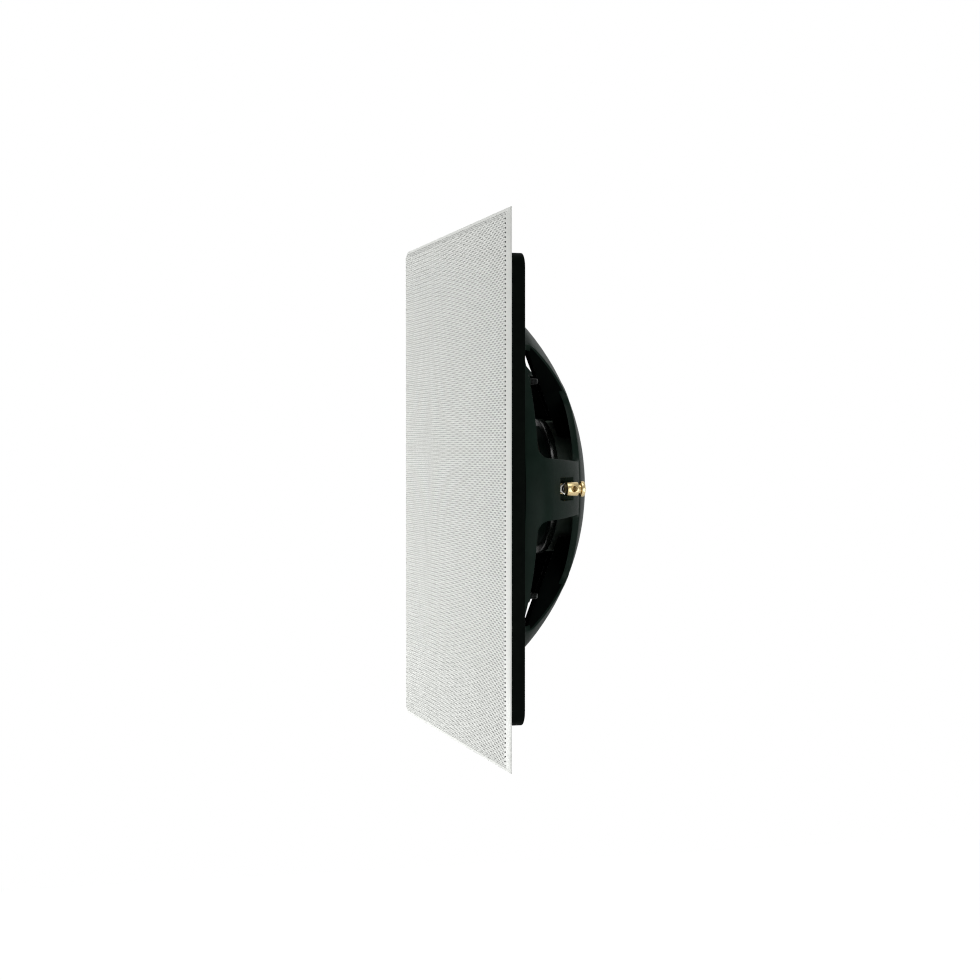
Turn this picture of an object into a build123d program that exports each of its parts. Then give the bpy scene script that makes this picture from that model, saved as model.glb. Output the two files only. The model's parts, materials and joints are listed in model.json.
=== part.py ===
from build123d import *
import os
from math import atan2, cos, hypot, pi, radians, sin, sqrt, tan

# In-wall speaker, in mm. X is right, Y goes back into the wall, Z is up.
# The origin is the middle of the wall plane, where the flange's back rests.

# Grille: a pressed and perforated steel sheet
grille_width = 306.0
grille_height = 366.0
grille_depth = 3.4
sheet = 0.8
border = 5.8
grille_lip = 0.5
row_pitch = 3.0
row_gap = 1.0
row_margin = 1.0
scrim_thickness = 0.5
scrim_inset = 3.0

# Frame: one black moulding that screws to the wall through its flange
side_overlap = 23.5
end_overlap = 26.5
frame_depth = 15.8
skirt_wall = 3.5
skirt_corner = 10.0
plate_thickness = 3.3
collar_wall = 2.0
collar_height = 3.5
rib_wall = 2.0
rib_height = 7.0
rib_places = (45.0, 90.0)
fixing_hole = 2.2
fixing_sink = 3.2
magnet_disc_radius = 4.0
magnet_disc_thickness = 1.5
magnet_side_place = 95.0
magnet_end_place = 80.0

# Basket: rail, six arms and a domed hub in one casting
rim_margin = 1.5
gasket_thickness = 0.8
basket_wall = 4.0
rim_seat_width = 23.0
surround_seat = 8.5
rail_height = 9.2
dome_depth = 89.7
dome_blend = 17.0
arm_count = 6
arm_length = 45.0
hub_floor = 6.5
hub_vent = 11.0
hub_groove_width = 1.2
hub_groove_depth = 0.8
arm_width_rim = 42.0
arm_width_hub = 36.0
window_blend = 8.0
window_corner = 9.0

# Driver screws
screw_radius = 2.2
screw_head_radius = 4.2
screw_head_height = 3.2
screw_length = 21.3
screw_inset = 7.5
screw_angles = (37.0, 90.0, 143.0)
screw_boss_radius = 4.5
screw_boss_rise = 2.0

# Motor
top_plate_overhang = 1.5
top_plate_thickness = 5.0
top_plate_bore = 26.5
magnet_bore = 30.0
magnet_thickness = 14.0
back_plate_radius = 36.0
back_plate_thickness = 5.0
pole_radius = 23.5
pole_vent = 8.0

# Moving parts of the driver
former_radius = 24.4
former_wall = 0.4
coil_thickness = 1.4
coil_length = 12.0
coil_tail = 1.5
cone_wall = 1.2
cone_lip = 6.0
cone_collar = 2.5
dust_cap_radius = 33.0
dust_cap_wall = 0.8
dust_cap_rise = 10.0
surround_wall = 0.8
surround_roll = 7.0
spider_wall = 0.8
spider_waves = 4
spider_wave_height = 1.6
spider_ring_inset = 4.6
spider_ring_width = 5.0
spider_ring_height = 6.0
spider_hem = 1.6

# Terminals: one on each side arm
pocket_inset = 29.5
pocket_half_height = 7.7
pocket_wall = 2.5
foot_thickness = 1.1
foot_rise = 3.3
foot_length = 13.2
foot_half_height = 3.6
barrel_reach = 8.0
barrel_radius = 4.7
barrel_rise = 7.1
barrel_length = 7.8
barrel_floor = 1.5
neck_length = 2.9
neck_half_height = 3.0
rod_radius = 2.9
rod_reach = 4.4
wire_hole = 2.0
wire_hole_rise = 4.5
button_radius = 5.2
button_thickness = 2.5
button_gap = 2.0
button_travel = 1.6
bolt_radius = 2.0
bolt_rise = 7.9
bolt_head_radius = 3.5
bolt_head_height = 3.0
nut_across_flats = 7.0
nut_thickness = 2.0
lead_radius = 1.1
lead_cone_place = 44.0
lead_straight = 3.0

# Clearances
fit = 0.05
running = 0.1
screw_clearance = 0.2
motor_clearance = 0.2
magnet_clearance = 2.2
spider_clearance = 3.1
bolt_head_clearance = 0.3
lead_clearance = 0.3

# Depths and radii that follow from the sizes above
flat_width = grille_width - 2 * border
flat_height = grille_height - 2 * border
scrim_front = sheet - grille_depth
flange_front = scrim_front + scrim_thickness
skirt_width = grille_width - 2 * side_overlap
skirt_height = grille_height - 2 * end_overlap
plate_front = frame_depth - plate_thickness
rim_front = frame_depth + gasket_thickness
rim_radius = skirt_width / 2 - rim_margin
rim_inner = rim_radius - rim_seat_width
opening_radius = rim_inner + surround_seat
screw_circle = rim_radius - screw_inset
rail_back = rim_front + rail_height
dome_rise = dome_depth - rail_back
dome_reach = rim_radius - dome_blend
dome_radius = (dome_rise**2 + dome_reach**2 - dome_blend**2) / (2 * (dome_rise - dome_blend))
dome_centre = dome_depth - dome_radius
hub_radius = rim_radius - arm_length
back_plate_back = dome_depth - hub_floor
back_plate_front = back_plate_back - back_plate_thickness
hollow_radius = dome_radius - basket_wall
hollow_edge = sqrt(hollow_radius**2 - (back_plate_front - dome_centre) ** 2)
magnet_radius = hollow_edge - magnet_clearance
top_plate_radius = magnet_radius + top_plate_overhang
spider_ring_radius = top_plate_radius - spider_ring_inset
top_plate_back = back_plate_front - magnet_thickness
top_plate_front = top_plate_back - top_plate_thickness
spider_seat = top_plate_front - spider_ring_height
coil_front = (top_plate_front + top_plate_back - coil_length) / 2
former_back = coil_front + coil_length + coil_tail
roll_outer = rim_inner + 1.0
roll_middle = roll_outer - surround_roll
cone_radius = roll_outer - 2 * surround_roll
cone_bend = cone_radius - cone_lip
cone_neck_depth = spider_seat - spider_wall - spider_wave_height - spider_clearance - cone_collar
cone_slope = atan2(cone_neck_depth - rim_front, cone_bend - former_radius)
fixing_x = (flat_width + skirt_width) / 4
fixing_z = (flat_height + skirt_height) / 4
pocket_wall_place = rim_radius - pocket_inset
pocket_inside = pocket_wall_place - pocket_wall
shell_inside = dome_centre + sqrt(hollow_radius**2 - pocket_inside**2)
bolt_depth = shell_inside - bolt_head_radius - bolt_head_clearance
pocket_floor = bolt_depth - bolt_rise
foot_low = pocket_floor + foot_rise
barrel_place = pocket_wall_place + barrel_reach
barrel_low = pocket_floor + barrel_rise
barrel_high = barrel_low + barrel_length
wire_hole_place = barrel_low + wire_hole_rise
button_low = barrel_high + button_gap


def slab(sketch, front, back):
    return extrude(Plane.XZ.offset(-back) * sketch, back - front)


def post(x, z, radius, front, back):
    return slab(Pos(x, z) * Circle(radius), front, back)


def ring(inner, outer, front, back):
    return slab(Circle(outer) - Circle(inner), front, back)


def turned(*edges):
    return revolve(make_face(edges), Axis.Y)


def turned_outline(*points):
    return turned(Polyline(*points, close=True))


def across(sketch, left, right):
    return extrude(Plane.YZ.offset(left) * sketch, right - left)


def on_circle(centre_radius, centre_depth, radius, angle):
    return (centre_radius + radius * cos(angle), centre_depth + radius * sin(angle))


def four_corners(x, z):
    return [(x, z), (x, -z), (-x, z), (-x, -z)]


def screw_places():
    return [
        (screw_circle * cos(radians(angle)), side * screw_circle * sin(radians(angle)))
        for angle in screw_angles
        for side in (1, -1)
    ]


def magnet_places():
    return four_corners(fixing_x, magnet_side_place) + four_corners(magnet_end_place, fixing_z)


def cone_front(radius):
    return cone_neck_depth - (radius - former_radius) * sin(cone_slope) / cos(cone_slope)


# Grille with its bevelled border and rows of gaps
def bevelled(half_width, half_height, inset, wide_depth, narrow_depth):
    wide = Rectangle(2 * half_width, 2 * half_height)
    narrow = Rectangle(2 * (half_width - inset), 2 * (half_height - inset))
    return loft([Plane.XZ.offset(-wide_depth) * wide, Plane.XZ.offset(-narrow_depth) * narrow])


def make_grille():
    half_width = grille_width / 2
    half_height = grille_height / 2
    outside = slab(Rectangle(grille_width, grille_height), -grille_lip, 0)
    outside += bevelled(half_width, half_height, border, -grille_lip, -grille_depth)
    inside = bevelled(half_width - sheet, half_height - sheet, border - sheet / 4, 0, scrim_front)
    rows = int(flat_height / row_pitch)
    row = Rectangle(flat_width - 2 * row_margin, row_gap)
    field = Sketch() + GridLocations(0, row_pitch, 1, rows) * row
    gaps = slab(field, -grille_depth, scrim_front)
    return outside - inside - gaps


def make_grille_scrim():
    cloth = Rectangle(flat_width - 2 * scrim_inset, flat_height - 2 * scrim_inset)
    return slab(cloth, scrim_front, flange_front)


def make_grille_magnets():
    back = flange_front + magnet_disc_thickness
    discs = [post(x, z, magnet_disc_radius, flange_front, back) for x, z in magnet_places()]
    return Compound(discs)


# Frame with flange, skirt, plate and ribs
def make_frame():
    inner_width = skirt_width - 2 * skirt_wall
    inner_height = skirt_height - 2 * skirt_wall
    inner_corner = skirt_corner - skirt_wall
    cavity = RectangleRounded(inner_width, inner_height, inner_corner)
    frame = slab(Rectangle(flat_width, flat_height), flange_front, 0)
    frame += slab(RectangleRounded(skirt_width, skirt_height, skirt_corner), 0, frame_depth)
    frame -= slab(cavity, flange_front, plate_front)
    ribs = Sketch() + [
        Pos(side * place, 0) * Rectangle(rib_wall, inner_height + skirt_wall)
        for place in rib_places
        for side in (-1, 1)
    ]
    frame += slab(ribs - Circle(rim_radius - basket_wall / 2), plate_front - rib_height, plate_front)
    frame += post(0, 0, opening_radius + collar_wall, plate_front - collar_height, plate_front)
    frame -= post(0, 0, opening_radius, flange_front, frame_depth)
    for x, z in screw_places():
        frame -= post(x, z, screw_radius + screw_clearance, plate_front, frame_depth)
    pocket_back = flange_front + magnet_disc_thickness
    for x, z in magnet_places():
        frame -= post(x, z, magnet_disc_radius + fit, flange_front, pocket_back)
    sink = turned_outline(
        (0, flange_front),
        (fixing_sink, flange_front),
        (fixing_hole, flange_front + fixing_sink - fixing_hole),
        (fixing_hole, 0),
        (0, 0),
    )
    for x, z in four_corners(fixing_x, fixing_z):
        frame -= Pos(x, 0, z) * sink
    return frame


def make_driver_gasket():
    gasket = ring(opening_radius, rim_radius - 1.0, frame_depth, rim_front)
    for x, z in screw_places():
        gasket -= post(x, z, screw_radius + screw_clearance, frame_depth, rim_front)
    return gasket


# Basket: a domed shell cut into arms
def dome_arcs(wall):
    blend_radius = dome_blend - wall
    sphere_radius = dome_radius - wall
    blend_centre = rim_radius - dome_blend
    turn = atan2(rail_back - dome_centre, blend_centre)
    blend = ThreePointArc(
        (rim_radius - wall, rail_back),
        on_circle(blend_centre, rail_back, blend_radius, turn / 2),
        on_circle(blend_centre, rail_back, blend_radius, turn),
    )
    return blend, sphere_radius, turn


def dome_solid():
    blend, radius, turn = dome_arcs(0.0)
    sphere = ThreePointArc(blend @ 1, on_circle(0, dome_centre, radius, (turn + pi / 2) / 2), (0, dome_depth))
    return turned(
        Polyline((0, dome_depth), (0, rim_front), (rim_radius, rim_front), blend @ 0), blend, sphere
    )


def dome_hollow():
    blend, radius, turn = dome_arcs(basket_wall)
    edge_turn = atan2(back_plate_front - dome_centre, hollow_edge)
    seat = back_plate_radius + motor_clearance
    sphere = ThreePointArc(
        blend @ 1, on_circle(0, dome_centre, radius, (turn + edge_turn) / 2), (hollow_edge, back_plate_front)
    )
    inside = Polyline(
        (hollow_edge, back_plate_front),
        (seat, back_plate_front),
        (seat, back_plate_back),
        (hub_vent, back_plate_back),
        (hub_vent, dome_depth + 1),
        (0, dome_depth + 1),
        (0, rim_front),
        (rim_inner, rim_front),
        (rim_inner, rim_front + basket_wall),
        (rim_radius - basket_wall, rim_front + basket_wall),
        blend @ 0,
    )
    return turned(inside, blend, sphere)


def arm_window():
    middle = pi / arm_count
    slope = (arm_width_rim - arm_width_hub) / 2 / (rim_radius - hub_radius)
    rise = arm_width_hub / 2 - slope * hub_radius
    start = rise / (tan(middle) - slope)
    far = 2 * rim_radius
    side = rise + slope * far
    other = (
        far * cos(2 * middle) + side * sin(2 * middle),
        far * sin(2 * middle) - side * cos(2 * middle),
    )
    corner = (2 * far * cos(middle), 2 * far * sin(middle))
    plan = make_face(Polyline((start, start * tan(middle)), (far, side), corner, other, close=True))
    plan -= Circle(hub_radius)
    corners = plan.vertices().filter_by(lambda v: hypot(v.X, v.Y) < hub_radius + 1)
    window = slab(fillet(corners, window_corner), rail_back, 2 * dome_depth)
    floor_edges = window.edges().group_by(Axis.Y)[0].filter_by(GeomType.LINE)
    arm_edges = floor_edges.filter_by(lambda e: hypot(e.center().X, e.center().Z) < far)
    return fillet(arm_edges, window_blend)


def terminal_boss():
    half = pocket_half_height + pocket_wall
    section = Pos((pocket_floor - pocket_wall + dome_depth) / 2, 0) * Rectangle(
        dome_depth - pocket_floor + pocket_wall, 2 * half
    )
    return across(section, pocket_inside, rim_radius) & dome_solid()


def terminal_pocket():
    section = Pos((pocket_floor + dome_depth) / 2, 0) * Rectangle(
        dome_depth - pocket_floor, 2 * pocket_half_height
    )
    pocket = across(section, pocket_wall_place, rim_radius)
    hole = Pos(bolt_depth, 0) * Circle(bolt_radius + fit)
    return pocket + across(hole, pocket_wall_place - 2 * pocket_wall, pocket_wall_place)


def make_basket():
    basket = dome_solid() - dome_hollow()
    window = arm_window()
    for turn in range(arm_count):
        basket -= Rot(0, 360 / arm_count * turn, 0) * window
    boss = terminal_boss()
    pocket = terminal_pocket()
    basket = basket + boss + mirror(boss, Plane.YZ)
    basket = basket - pocket - mirror(pocket, Plane.YZ)
    groove_outer = dome_centre + sqrt(dome_radius**2 - hub_radius**2)
    groove = ring(hub_radius, hub_radius + hub_groove_width, groove_outer - hub_groove_depth, dome_depth)
    basket -= groove
    for x, z in screw_places():
        basket += post(x, z, screw_boss_radius, rim_front, rail_back + screw_boss_rise)
    for x, z in screw_places():
        basket -= post(x, z, screw_radius + fit, rim_front, rail_back + screw_boss_rise)
    return basket


def make_driver_screws():
    screws = []
    for x, z in screw_places():
        head = post(x, z, screw_head_radius, plate_front - screw_head_height, plate_front)
        screws.append(head + post(x, z, screw_radius, plate_front, plate_front + screw_length))
    return Compound(screws)


# Motor: plates and ring magnet round the coil's gap
def make_top_plate():
    return ring(top_plate_bore, top_plate_radius, top_plate_front, top_plate_back)


def make_magnet():
    return ring(magnet_bore, magnet_radius, top_plate_back, back_plate_front)


def make_yoke():
    return turned_outline(
        (pole_vent, top_plate_front),
        (pole_radius, top_plate_front),
        (pole_radius, back_plate_front),
        (back_plate_radius, back_plate_front),
        (back_plate_radius, back_plate_back),
        (pole_vent, back_plate_back),
    )


def make_spider_ring():
    return ring(
        spider_ring_radius - spider_ring_width, spider_ring_radius, spider_seat, top_plate_front
    )


# Soft rings that carry the cone
def make_spider():
    first = former_radius + spider_hem
    last = spider_ring_radius - spider_ring_width
    front = spider_seat - spider_wall
    step = (last - first) / (2 * spider_waves)
    waves = [
        (first + step * i, front - (spider_wave_height if i % 2 else 0)) for i in range(2 * spider_waves + 1)
    ]
    face = [(former_radius, front)] + waves + [(spider_ring_radius, front)]
    back = [(radius, depth + spider_wall) for radius, depth in reversed(face)]
    return turned_outline(*face, *back)


def make_surround():
    front = rim_front - surround_wall
    inner_roll = surround_roll - surround_wall
    outer_foot = roll_middle + inner_roll
    inner_foot = roll_middle - inner_roll
    edge = opening_radius - 1.0
    outside = ThreePointArc(
        (cone_radius, front), (roll_middle, front - surround_roll), (roll_outer, front)
    )
    inside = ThreePointArc(
        (outer_foot, front), (roll_middle, front - inner_roll), (inner_foot, front)
    )
    outer_lip = Polyline(
        (roll_outer, front), (edge, front), (edge, rim_front), (outer_foot, rim_front), (outer_foot, front)
    )
    inner_lip = Polyline(
        (inner_foot, front),
        (inner_foot, rim_front),
        (cone_bend, rim_front),
        (cone_bend, front),
        (cone_radius, front),
    )
    return turned(outside, outer_lip, inside, inner_lip)


# Moving parts: cone, dust cap, former and coil
def make_cone():
    rise = cone_wall / cos(cone_slope)
    lip_back = rim_front + cone_wall
    collar = former_radius + cone_wall
    bend_back = former_radius + (cone_neck_depth + rise - lip_back) * cos(cone_slope) / sin(cone_slope)
    return turned_outline(
        (cone_radius, rim_front),
        (cone_bend, rim_front),
        (former_radius, cone_neck_depth),
        (former_radius, cone_neck_depth + cone_collar),
        (collar, cone_neck_depth + cone_collar),
        (collar, cone_front(collar) + rise),
        (bend_back, lip_back),
        (cone_radius, lip_back),
    )


def make_dust_cap():
    rim = cone_front(dust_cap_radius)
    sphere = (dust_cap_radius**2 + dust_cap_rise**2) / (2 * dust_cap_rise)
    centre = Pos(0, rim - dust_cap_rise + sphere, 0)
    inside_cone = turned_outline(
        (0, rim - 2 * dust_cap_rise),
        (dust_cap_radius, rim - 2 * dust_cap_rise),
        (dust_cap_radius, rim),
        (0, cone_front(0)),
    )
    return (centre * Sphere(sphere) - centre * Sphere(sphere - dust_cap_wall)) & inside_cone


def make_voice_coil_former():
    return ring(former_radius - former_wall, former_radius, cone_neck_depth, former_back)


def make_voice_coil():
    return ring(former_radius, former_radius + coil_thickness, coil_front, coil_front + coil_length)


# Terminals on the right arm, mirrored for the left
def make_terminal_body():
    foot = Pos(foot_low + foot_length / 2, 0) * Rectangle(foot_length, 2 * foot_half_height)
    body = across(foot, pocket_wall_place, pocket_wall_place + foot_thickness)
    neck = Pos(barrel_high - neck_length / 2, 0) * Rectangle(neck_length, 2 * neck_half_height)
    body += across(neck, pocket_wall_place + foot_thickness, barrel_place)
    body += post(barrel_place, 0, barrel_radius, barrel_low, barrel_high)
    body -= post(barrel_place, 0, rod_radius + running, barrel_low + barrel_floor, barrel_high)
    body -= across(
        Pos(wire_hole_place, 0) * Circle(wire_hole), barrel_place, barrel_place + 2 * barrel_radius
    )
    bolt_hole = Pos(bolt_depth, 0) * Circle(bolt_radius + fit)
    return body - across(bolt_hole, pocket_wall_place, pocket_wall_place + foot_thickness)


def make_terminal_button():
    button = post(barrel_place, 0, button_radius, button_low, button_low + button_thickness)
    button += post(barrel_place, 0, rod_radius, button_low - button_gap - rod_reach, button_low)
    wire = Pos(wire_hole_place + button_travel, 0) * Circle(wire_hole)
    return button - across(wire, barrel_place - 2 * rod_radius, barrel_place + 2 * rod_radius)


def make_terminal_bolt():
    end = pocket_wall_place + foot_thickness + nut_thickness
    head = pocket_inside - bolt_head_height
    bolt = across(Pos(bolt_depth, 0) * Circle(bolt_head_radius), head, pocket_inside)
    return bolt + across(Pos(bolt_depth, 0) * Circle(bolt_radius), pocket_inside, end)


def make_terminal_nut():
    face = pocket_wall_place + foot_thickness
    hexagon = RegularPolygon(nut_across_flats / 2, 6, major_radius=False, rotation=30)
    section = Pos(bolt_depth, 0) * (hexagon - Circle(bolt_radius + fit))
    return across(section, face, face + nut_thickness)


def make_tinsel_lead():
    head = pocket_inside - bolt_head_height
    lift = cone_wall + lead_radius / 2 + lead_clearance
    end = (
        lead_cone_place + lift * sin(cone_slope),
        cone_front(lead_cone_place) + lift * cos(cone_slope),
    )
    straight = Line((head, bolt_depth), (head - lead_straight, bolt_depth))
    path = straight + TangentArc(straight @ 1, end, tangent=(-1, 0))
    return sweep(Plane(straight @ 0, z_dir=(-1, 0, 0)) * Circle(lead_radius), path)


def other_side(part):
    return mirror(part, Plane.YZ)


def both_sides(part):
    return Compound([part, other_side(part)])


nodes = {
    "grille": make_grille(),
    "grille_scrim": make_grille_scrim(),
    "grille_magnets": make_grille_magnets(),
    "frame": make_frame(),
    "driver_gasket": make_driver_gasket(),
    "basket": make_basket(),
    "driver_screws": make_driver_screws(),
    "top_plate": make_top_plate(),
    "magnet": make_magnet(),
    "yoke": make_yoke(),
    "spider_ring": make_spider_ring(),
    "spider": make_spider(),
    "surround": make_surround(),
    "cone": make_cone(),
    "dust_cap": make_dust_cap(),
    "voice_coil_former": make_voice_coil_former(),
    "voice_coil": make_voice_coil(),
    "terminal_body_positive": make_terminal_body(),
    "terminal_body_negative": other_side(make_terminal_body()),
    "terminal_button_positive": make_terminal_button(),
    "terminal_button_negative": other_side(make_terminal_button()),
    "terminal_bolts": both_sides(make_terminal_bolt()),
    "terminal_nuts": both_sides(make_terminal_nut()),
    "tinsel_lead_positive": make_tinsel_lead(),
    "tinsel_lead_negative": other_side(make_tinsel_lead()),
}

os.makedirs("parts", exist_ok=True)
for name, part in nodes.items():
    export_step(part, f"parts/{name}.step")
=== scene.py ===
# %% [markdown]
# # In-wall speaker
# A white steel grille hangs by magnets on a black moulded frame. Behind the frame is the driver: a
# cast basket with six arms, a magnet motor, a cone on a rubber surround, and a gold push terminal
# on each side arm.
# The solid model already has every part at its true size and place, so this script dresses that
# model: it gives each part its finish, and it models again the parts whose look needs finer work,
# such as the grille with its thousands of small holes.

# %% Load the solid model
import json
import math

import bpy
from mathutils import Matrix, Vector

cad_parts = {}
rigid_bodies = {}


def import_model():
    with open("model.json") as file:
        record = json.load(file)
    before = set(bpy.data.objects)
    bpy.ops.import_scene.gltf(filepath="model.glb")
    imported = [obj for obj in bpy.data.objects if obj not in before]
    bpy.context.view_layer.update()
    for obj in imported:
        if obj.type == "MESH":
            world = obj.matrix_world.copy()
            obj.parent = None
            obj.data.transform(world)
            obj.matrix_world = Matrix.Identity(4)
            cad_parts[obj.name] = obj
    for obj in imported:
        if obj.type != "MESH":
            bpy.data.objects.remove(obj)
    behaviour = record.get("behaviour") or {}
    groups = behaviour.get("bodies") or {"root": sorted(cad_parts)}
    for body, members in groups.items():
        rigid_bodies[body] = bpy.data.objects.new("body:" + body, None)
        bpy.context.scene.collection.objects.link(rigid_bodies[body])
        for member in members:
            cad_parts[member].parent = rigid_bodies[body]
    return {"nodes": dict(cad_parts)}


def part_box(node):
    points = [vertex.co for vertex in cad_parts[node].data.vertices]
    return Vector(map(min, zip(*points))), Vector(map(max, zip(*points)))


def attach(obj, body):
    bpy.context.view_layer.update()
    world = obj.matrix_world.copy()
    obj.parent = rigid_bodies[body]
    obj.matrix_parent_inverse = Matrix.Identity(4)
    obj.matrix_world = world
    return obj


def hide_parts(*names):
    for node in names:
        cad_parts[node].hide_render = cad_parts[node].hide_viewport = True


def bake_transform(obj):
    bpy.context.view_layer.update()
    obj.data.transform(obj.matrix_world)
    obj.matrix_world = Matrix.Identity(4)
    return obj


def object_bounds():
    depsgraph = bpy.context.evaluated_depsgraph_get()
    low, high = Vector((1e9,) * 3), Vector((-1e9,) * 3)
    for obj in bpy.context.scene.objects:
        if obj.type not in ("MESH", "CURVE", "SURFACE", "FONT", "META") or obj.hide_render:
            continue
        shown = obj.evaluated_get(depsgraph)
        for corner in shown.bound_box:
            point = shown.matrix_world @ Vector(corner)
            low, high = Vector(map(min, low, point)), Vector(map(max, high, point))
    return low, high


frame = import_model()
cad_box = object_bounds()
nodes = frame["nodes"]
mm = 0.001
print("parts", len(nodes), "box", [round(side, 4) for side in cad_box[1] - cad_box[0]])

# %% [markdown]
# ## Camera
# The photograph was taken from the speaker's right, a little in front of it and almost level with
# its middle. A camera could be aimed by eye, but the grille's four corners give its place, turn and
# lens exactly. The pixel filter is narrower than usual, because the rows of holes are only a few
# pixels apart and a wide filter would smear them into an even grey.

# %% Camera
camera_place = (1.3722, -0.3390, 0.0271)
camera_turn = math.radians(75.096)
camera_tilt = math.radians(-1.202)
camera_lens = 72.17
pixel_filter = 1.15
quarter_turn = math.radians(90)

bpy.ops.object.camera_add(
    location=camera_place, rotation=(quarter_turn + camera_tilt, 0, camera_turn)
)
camera = bpy.context.object
camera.data.lens = camera_lens
bpy.context.scene.camera = camera
bpy.context.scene.view_settings.view_transform = "Standard"
bpy.context.scene.cycles.filter_width = pixel_filter
print("camera", camera_place, "lens", camera_lens)

# %% [markdown]
# ## Studio
# The background is pure white, the grille is softly lit, and the black parts stay dark with pale
# light only along their edges. One large lamp would do for a plain picture, but it would also shine
# through the grille. So the main lamp stands low on the far side, and its slanting light leaves the
# holes dark. One lamp above and one beside the speaker pick out the edges and arms that face the
# camera, and a weak one lights the back.

# %% Lamps
def soft_lamp(name, place, side, power, aim=(0, 0, 0)):
    bpy.ops.object.light_add(type="AREA", location=place)
    lamp = bpy.context.object
    lamp.name = name
    lamp.data.shape = "SQUARE"
    lamp.data.size = side
    lamp.data.energy = power
    lamp.rotation_euler = (Vector(aim) - Vector(place)).to_track_quat("-Z", "Y").to_euler()


soft_lamp("front_lamp", place=(-0.5, -1.15, -0.4), side=0.5, power=16)
soft_lamp("top_lamp", place=(0.5, -0.1, 1.3), side=0.8, power=6)
soft_lamp("side_lamp", place=(1.3, 0.5, -0.35), side=0.8, power=7)
soft_lamp("back_lamp", place=(0.5, 1.4, 0.3), side=1.0, power=3, aim=(0, 0.05, 0))

# %% [markdown]
# ### Nodes
# The world and every finish are trees of nodes. They could be wired by hand, link by link. These
# helpers each add one node, fill its sockets and hand back what it gives, so a tree reads like a
# sum.

# %% Helpers for nodes
def put(tree, socket, value):
    if isinstance(value, bpy.types.NodeSocket):
        tree.links.new(value, socket)
    else:
        socket.default_value = value


def add_math(tree, operation, *values):
    node = tree.nodes.new("ShaderNodeMath")
    node.operation = operation
    for socket, value in zip(node.inputs, values):
        put(tree, socket, value)
    return node.outputs["Value"]


def add_mix(tree, share, first, second):
    node = tree.nodes.new("ShaderNodeMix")
    for name, value in (("Factor", share), ("A", first), ("B", second)):
        put(tree, node.inputs[name], value)
    return node.outputs["Result"]


def add_range(tree, value, start, end, kind="LINEAR"):
    node = tree.nodes.new("ShaderNodeMapRange")
    node.interpolation_type = kind
    put(tree, node.inputs["Value"], value)
    for name, number in zip(("From Min", "From Max", "To Min", "To Max"), (*start, *end)):
        put(tree, node.inputs[name], number)
    return node.outputs["Result"]


def kinds_of_ray(tree):
    ray = tree.nodes.new("ShaderNodeLightPath")
    glossy, through = ray.outputs["Is Glossy Ray"], ray.outputs["Is Transmission Ray"]
    return ray.outputs["Is Camera Ray"], add_math(tree, "MAXIMUM", glossy, through)


print("node helpers ready")

# %% [markdown]
# ### World
# The world has three jobs, and the kind of ray tells them apart. Rays from the camera see pure
# white. Rays that bounce off gloss or go through glass see the white backdrop where it hangs,
# behind the speaker, and a dimmer room on the photographer's side. All other rays gather the room's
# soft, even light.

# %% World
white_level = 1.0
room_level = 0.2
dim_room = 0.32
backdrop_towards = (-0.87, 0.23, 0.43)
backdrop_edge = 0.45

world = bpy.data.worlds.new("studio_white")
bpy.context.scene.world = world
world.use_nodes = True
sky = world.node_tree
background = sky.nodes["Background"].inputs
put(sky, background["Color"], (1, 1, 1, 1))
towards_back = sky.nodes.new("ShaderNodeVectorMath")
towards_back.operation = "DOT_PRODUCT"
put(sky, towards_back.inputs[0], sky.nodes.new("ShaderNodeTexCoord").outputs["Generated"])
put(sky, towards_back.inputs[1], backdrop_towards)
facing = towards_back.outputs["Value"]
backdrop = add_range(sky, facing, (backdrop_edge, 1.0), (dim_room, white_level), "SMOOTHSTEP")
camera_ray, mirrored_ray = kinds_of_ray(sky)
unseen = add_mix(sky, mirrored_ray, room_level, backdrop)
put(sky, background["Strength"], add_mix(sky, camera_ray, unseen, white_level))
print("world", world.name)

# %% [markdown]
# ### Floor
# The floor is a plain pale sheet well below the speaker. It could be lit until it is white, but
# that light would also reach the speaker. So it glows for the camera, which joins it to the white
# background, a little in reflections, and not at all for other rays.

# %% Floor
floor_drop = 0.75
floor_size = 6.0
floor_tone = 0.9
floor_roughness = 0.9
floor_glow = 0.8
floor_shine = 0.2

bpy.ops.mesh.primitive_plane_add(size=floor_size, location=(0, 0, cad_box[0].z - floor_drop))
floor = bpy.context.object
floor.name = "floor"
pale = bpy.data.materials.new("pale_floor")
pale.use_nodes = True
paint = pale.node_tree
pale_shader = paint.nodes["Principled BSDF"].inputs
put(paint, pale_shader["Base Color"], (floor_tone, floor_tone, floor_tone, 1))
put(paint, pale_shader["Roughness"], floor_roughness)
put(paint, pale_shader["Emission Color"], (1, 1, 1, 1))
camera_ray, mirrored_ray = kinds_of_ray(paint)
shine = add_math(paint, "MULTIPLY", mirrored_ray, floor_shine)
glow = add_math(paint, "MULTIPLY_ADD", camera_ray, floor_glow, shine)
put(paint, pale_shader["Emission Strength"], glow)
floor.data.materials.append(pale)
print("floor", floor_drop, "m below the speaker")

# %% [markdown]
# ## Finishes
# Every finish starts from the same few steps: a noise at the size of the real grain changes the
# colour a little, moves the roughness up and down, and lifts a fine bump. An image could be wrapped
# round each part instead, but noise in the part's own coordinates has no seams and stays the same
# size on every part.

# %% Helpers for finishes
noise_range = (0.3, 0.7)  # most of a noise's values lie between these
wave_length = math.pi / 10  # from band to band of a wave texture at a scale of 1


def new_finish(name, metal=0.0, gloss=0.5):
    finish = bpy.data.materials.new(name)
    finish.use_nodes = True
    tree = finish.node_tree
    shader = tree.nodes["Principled BSDF"].inputs
    put(tree, shader["Metallic"], metal)
    put(tree, shader["Specular IOR Level"], gloss)
    place = tree.nodes.new("ShaderNodeTexCoord").outputs["Object"]
    return finish, tree, shader, place


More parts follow.
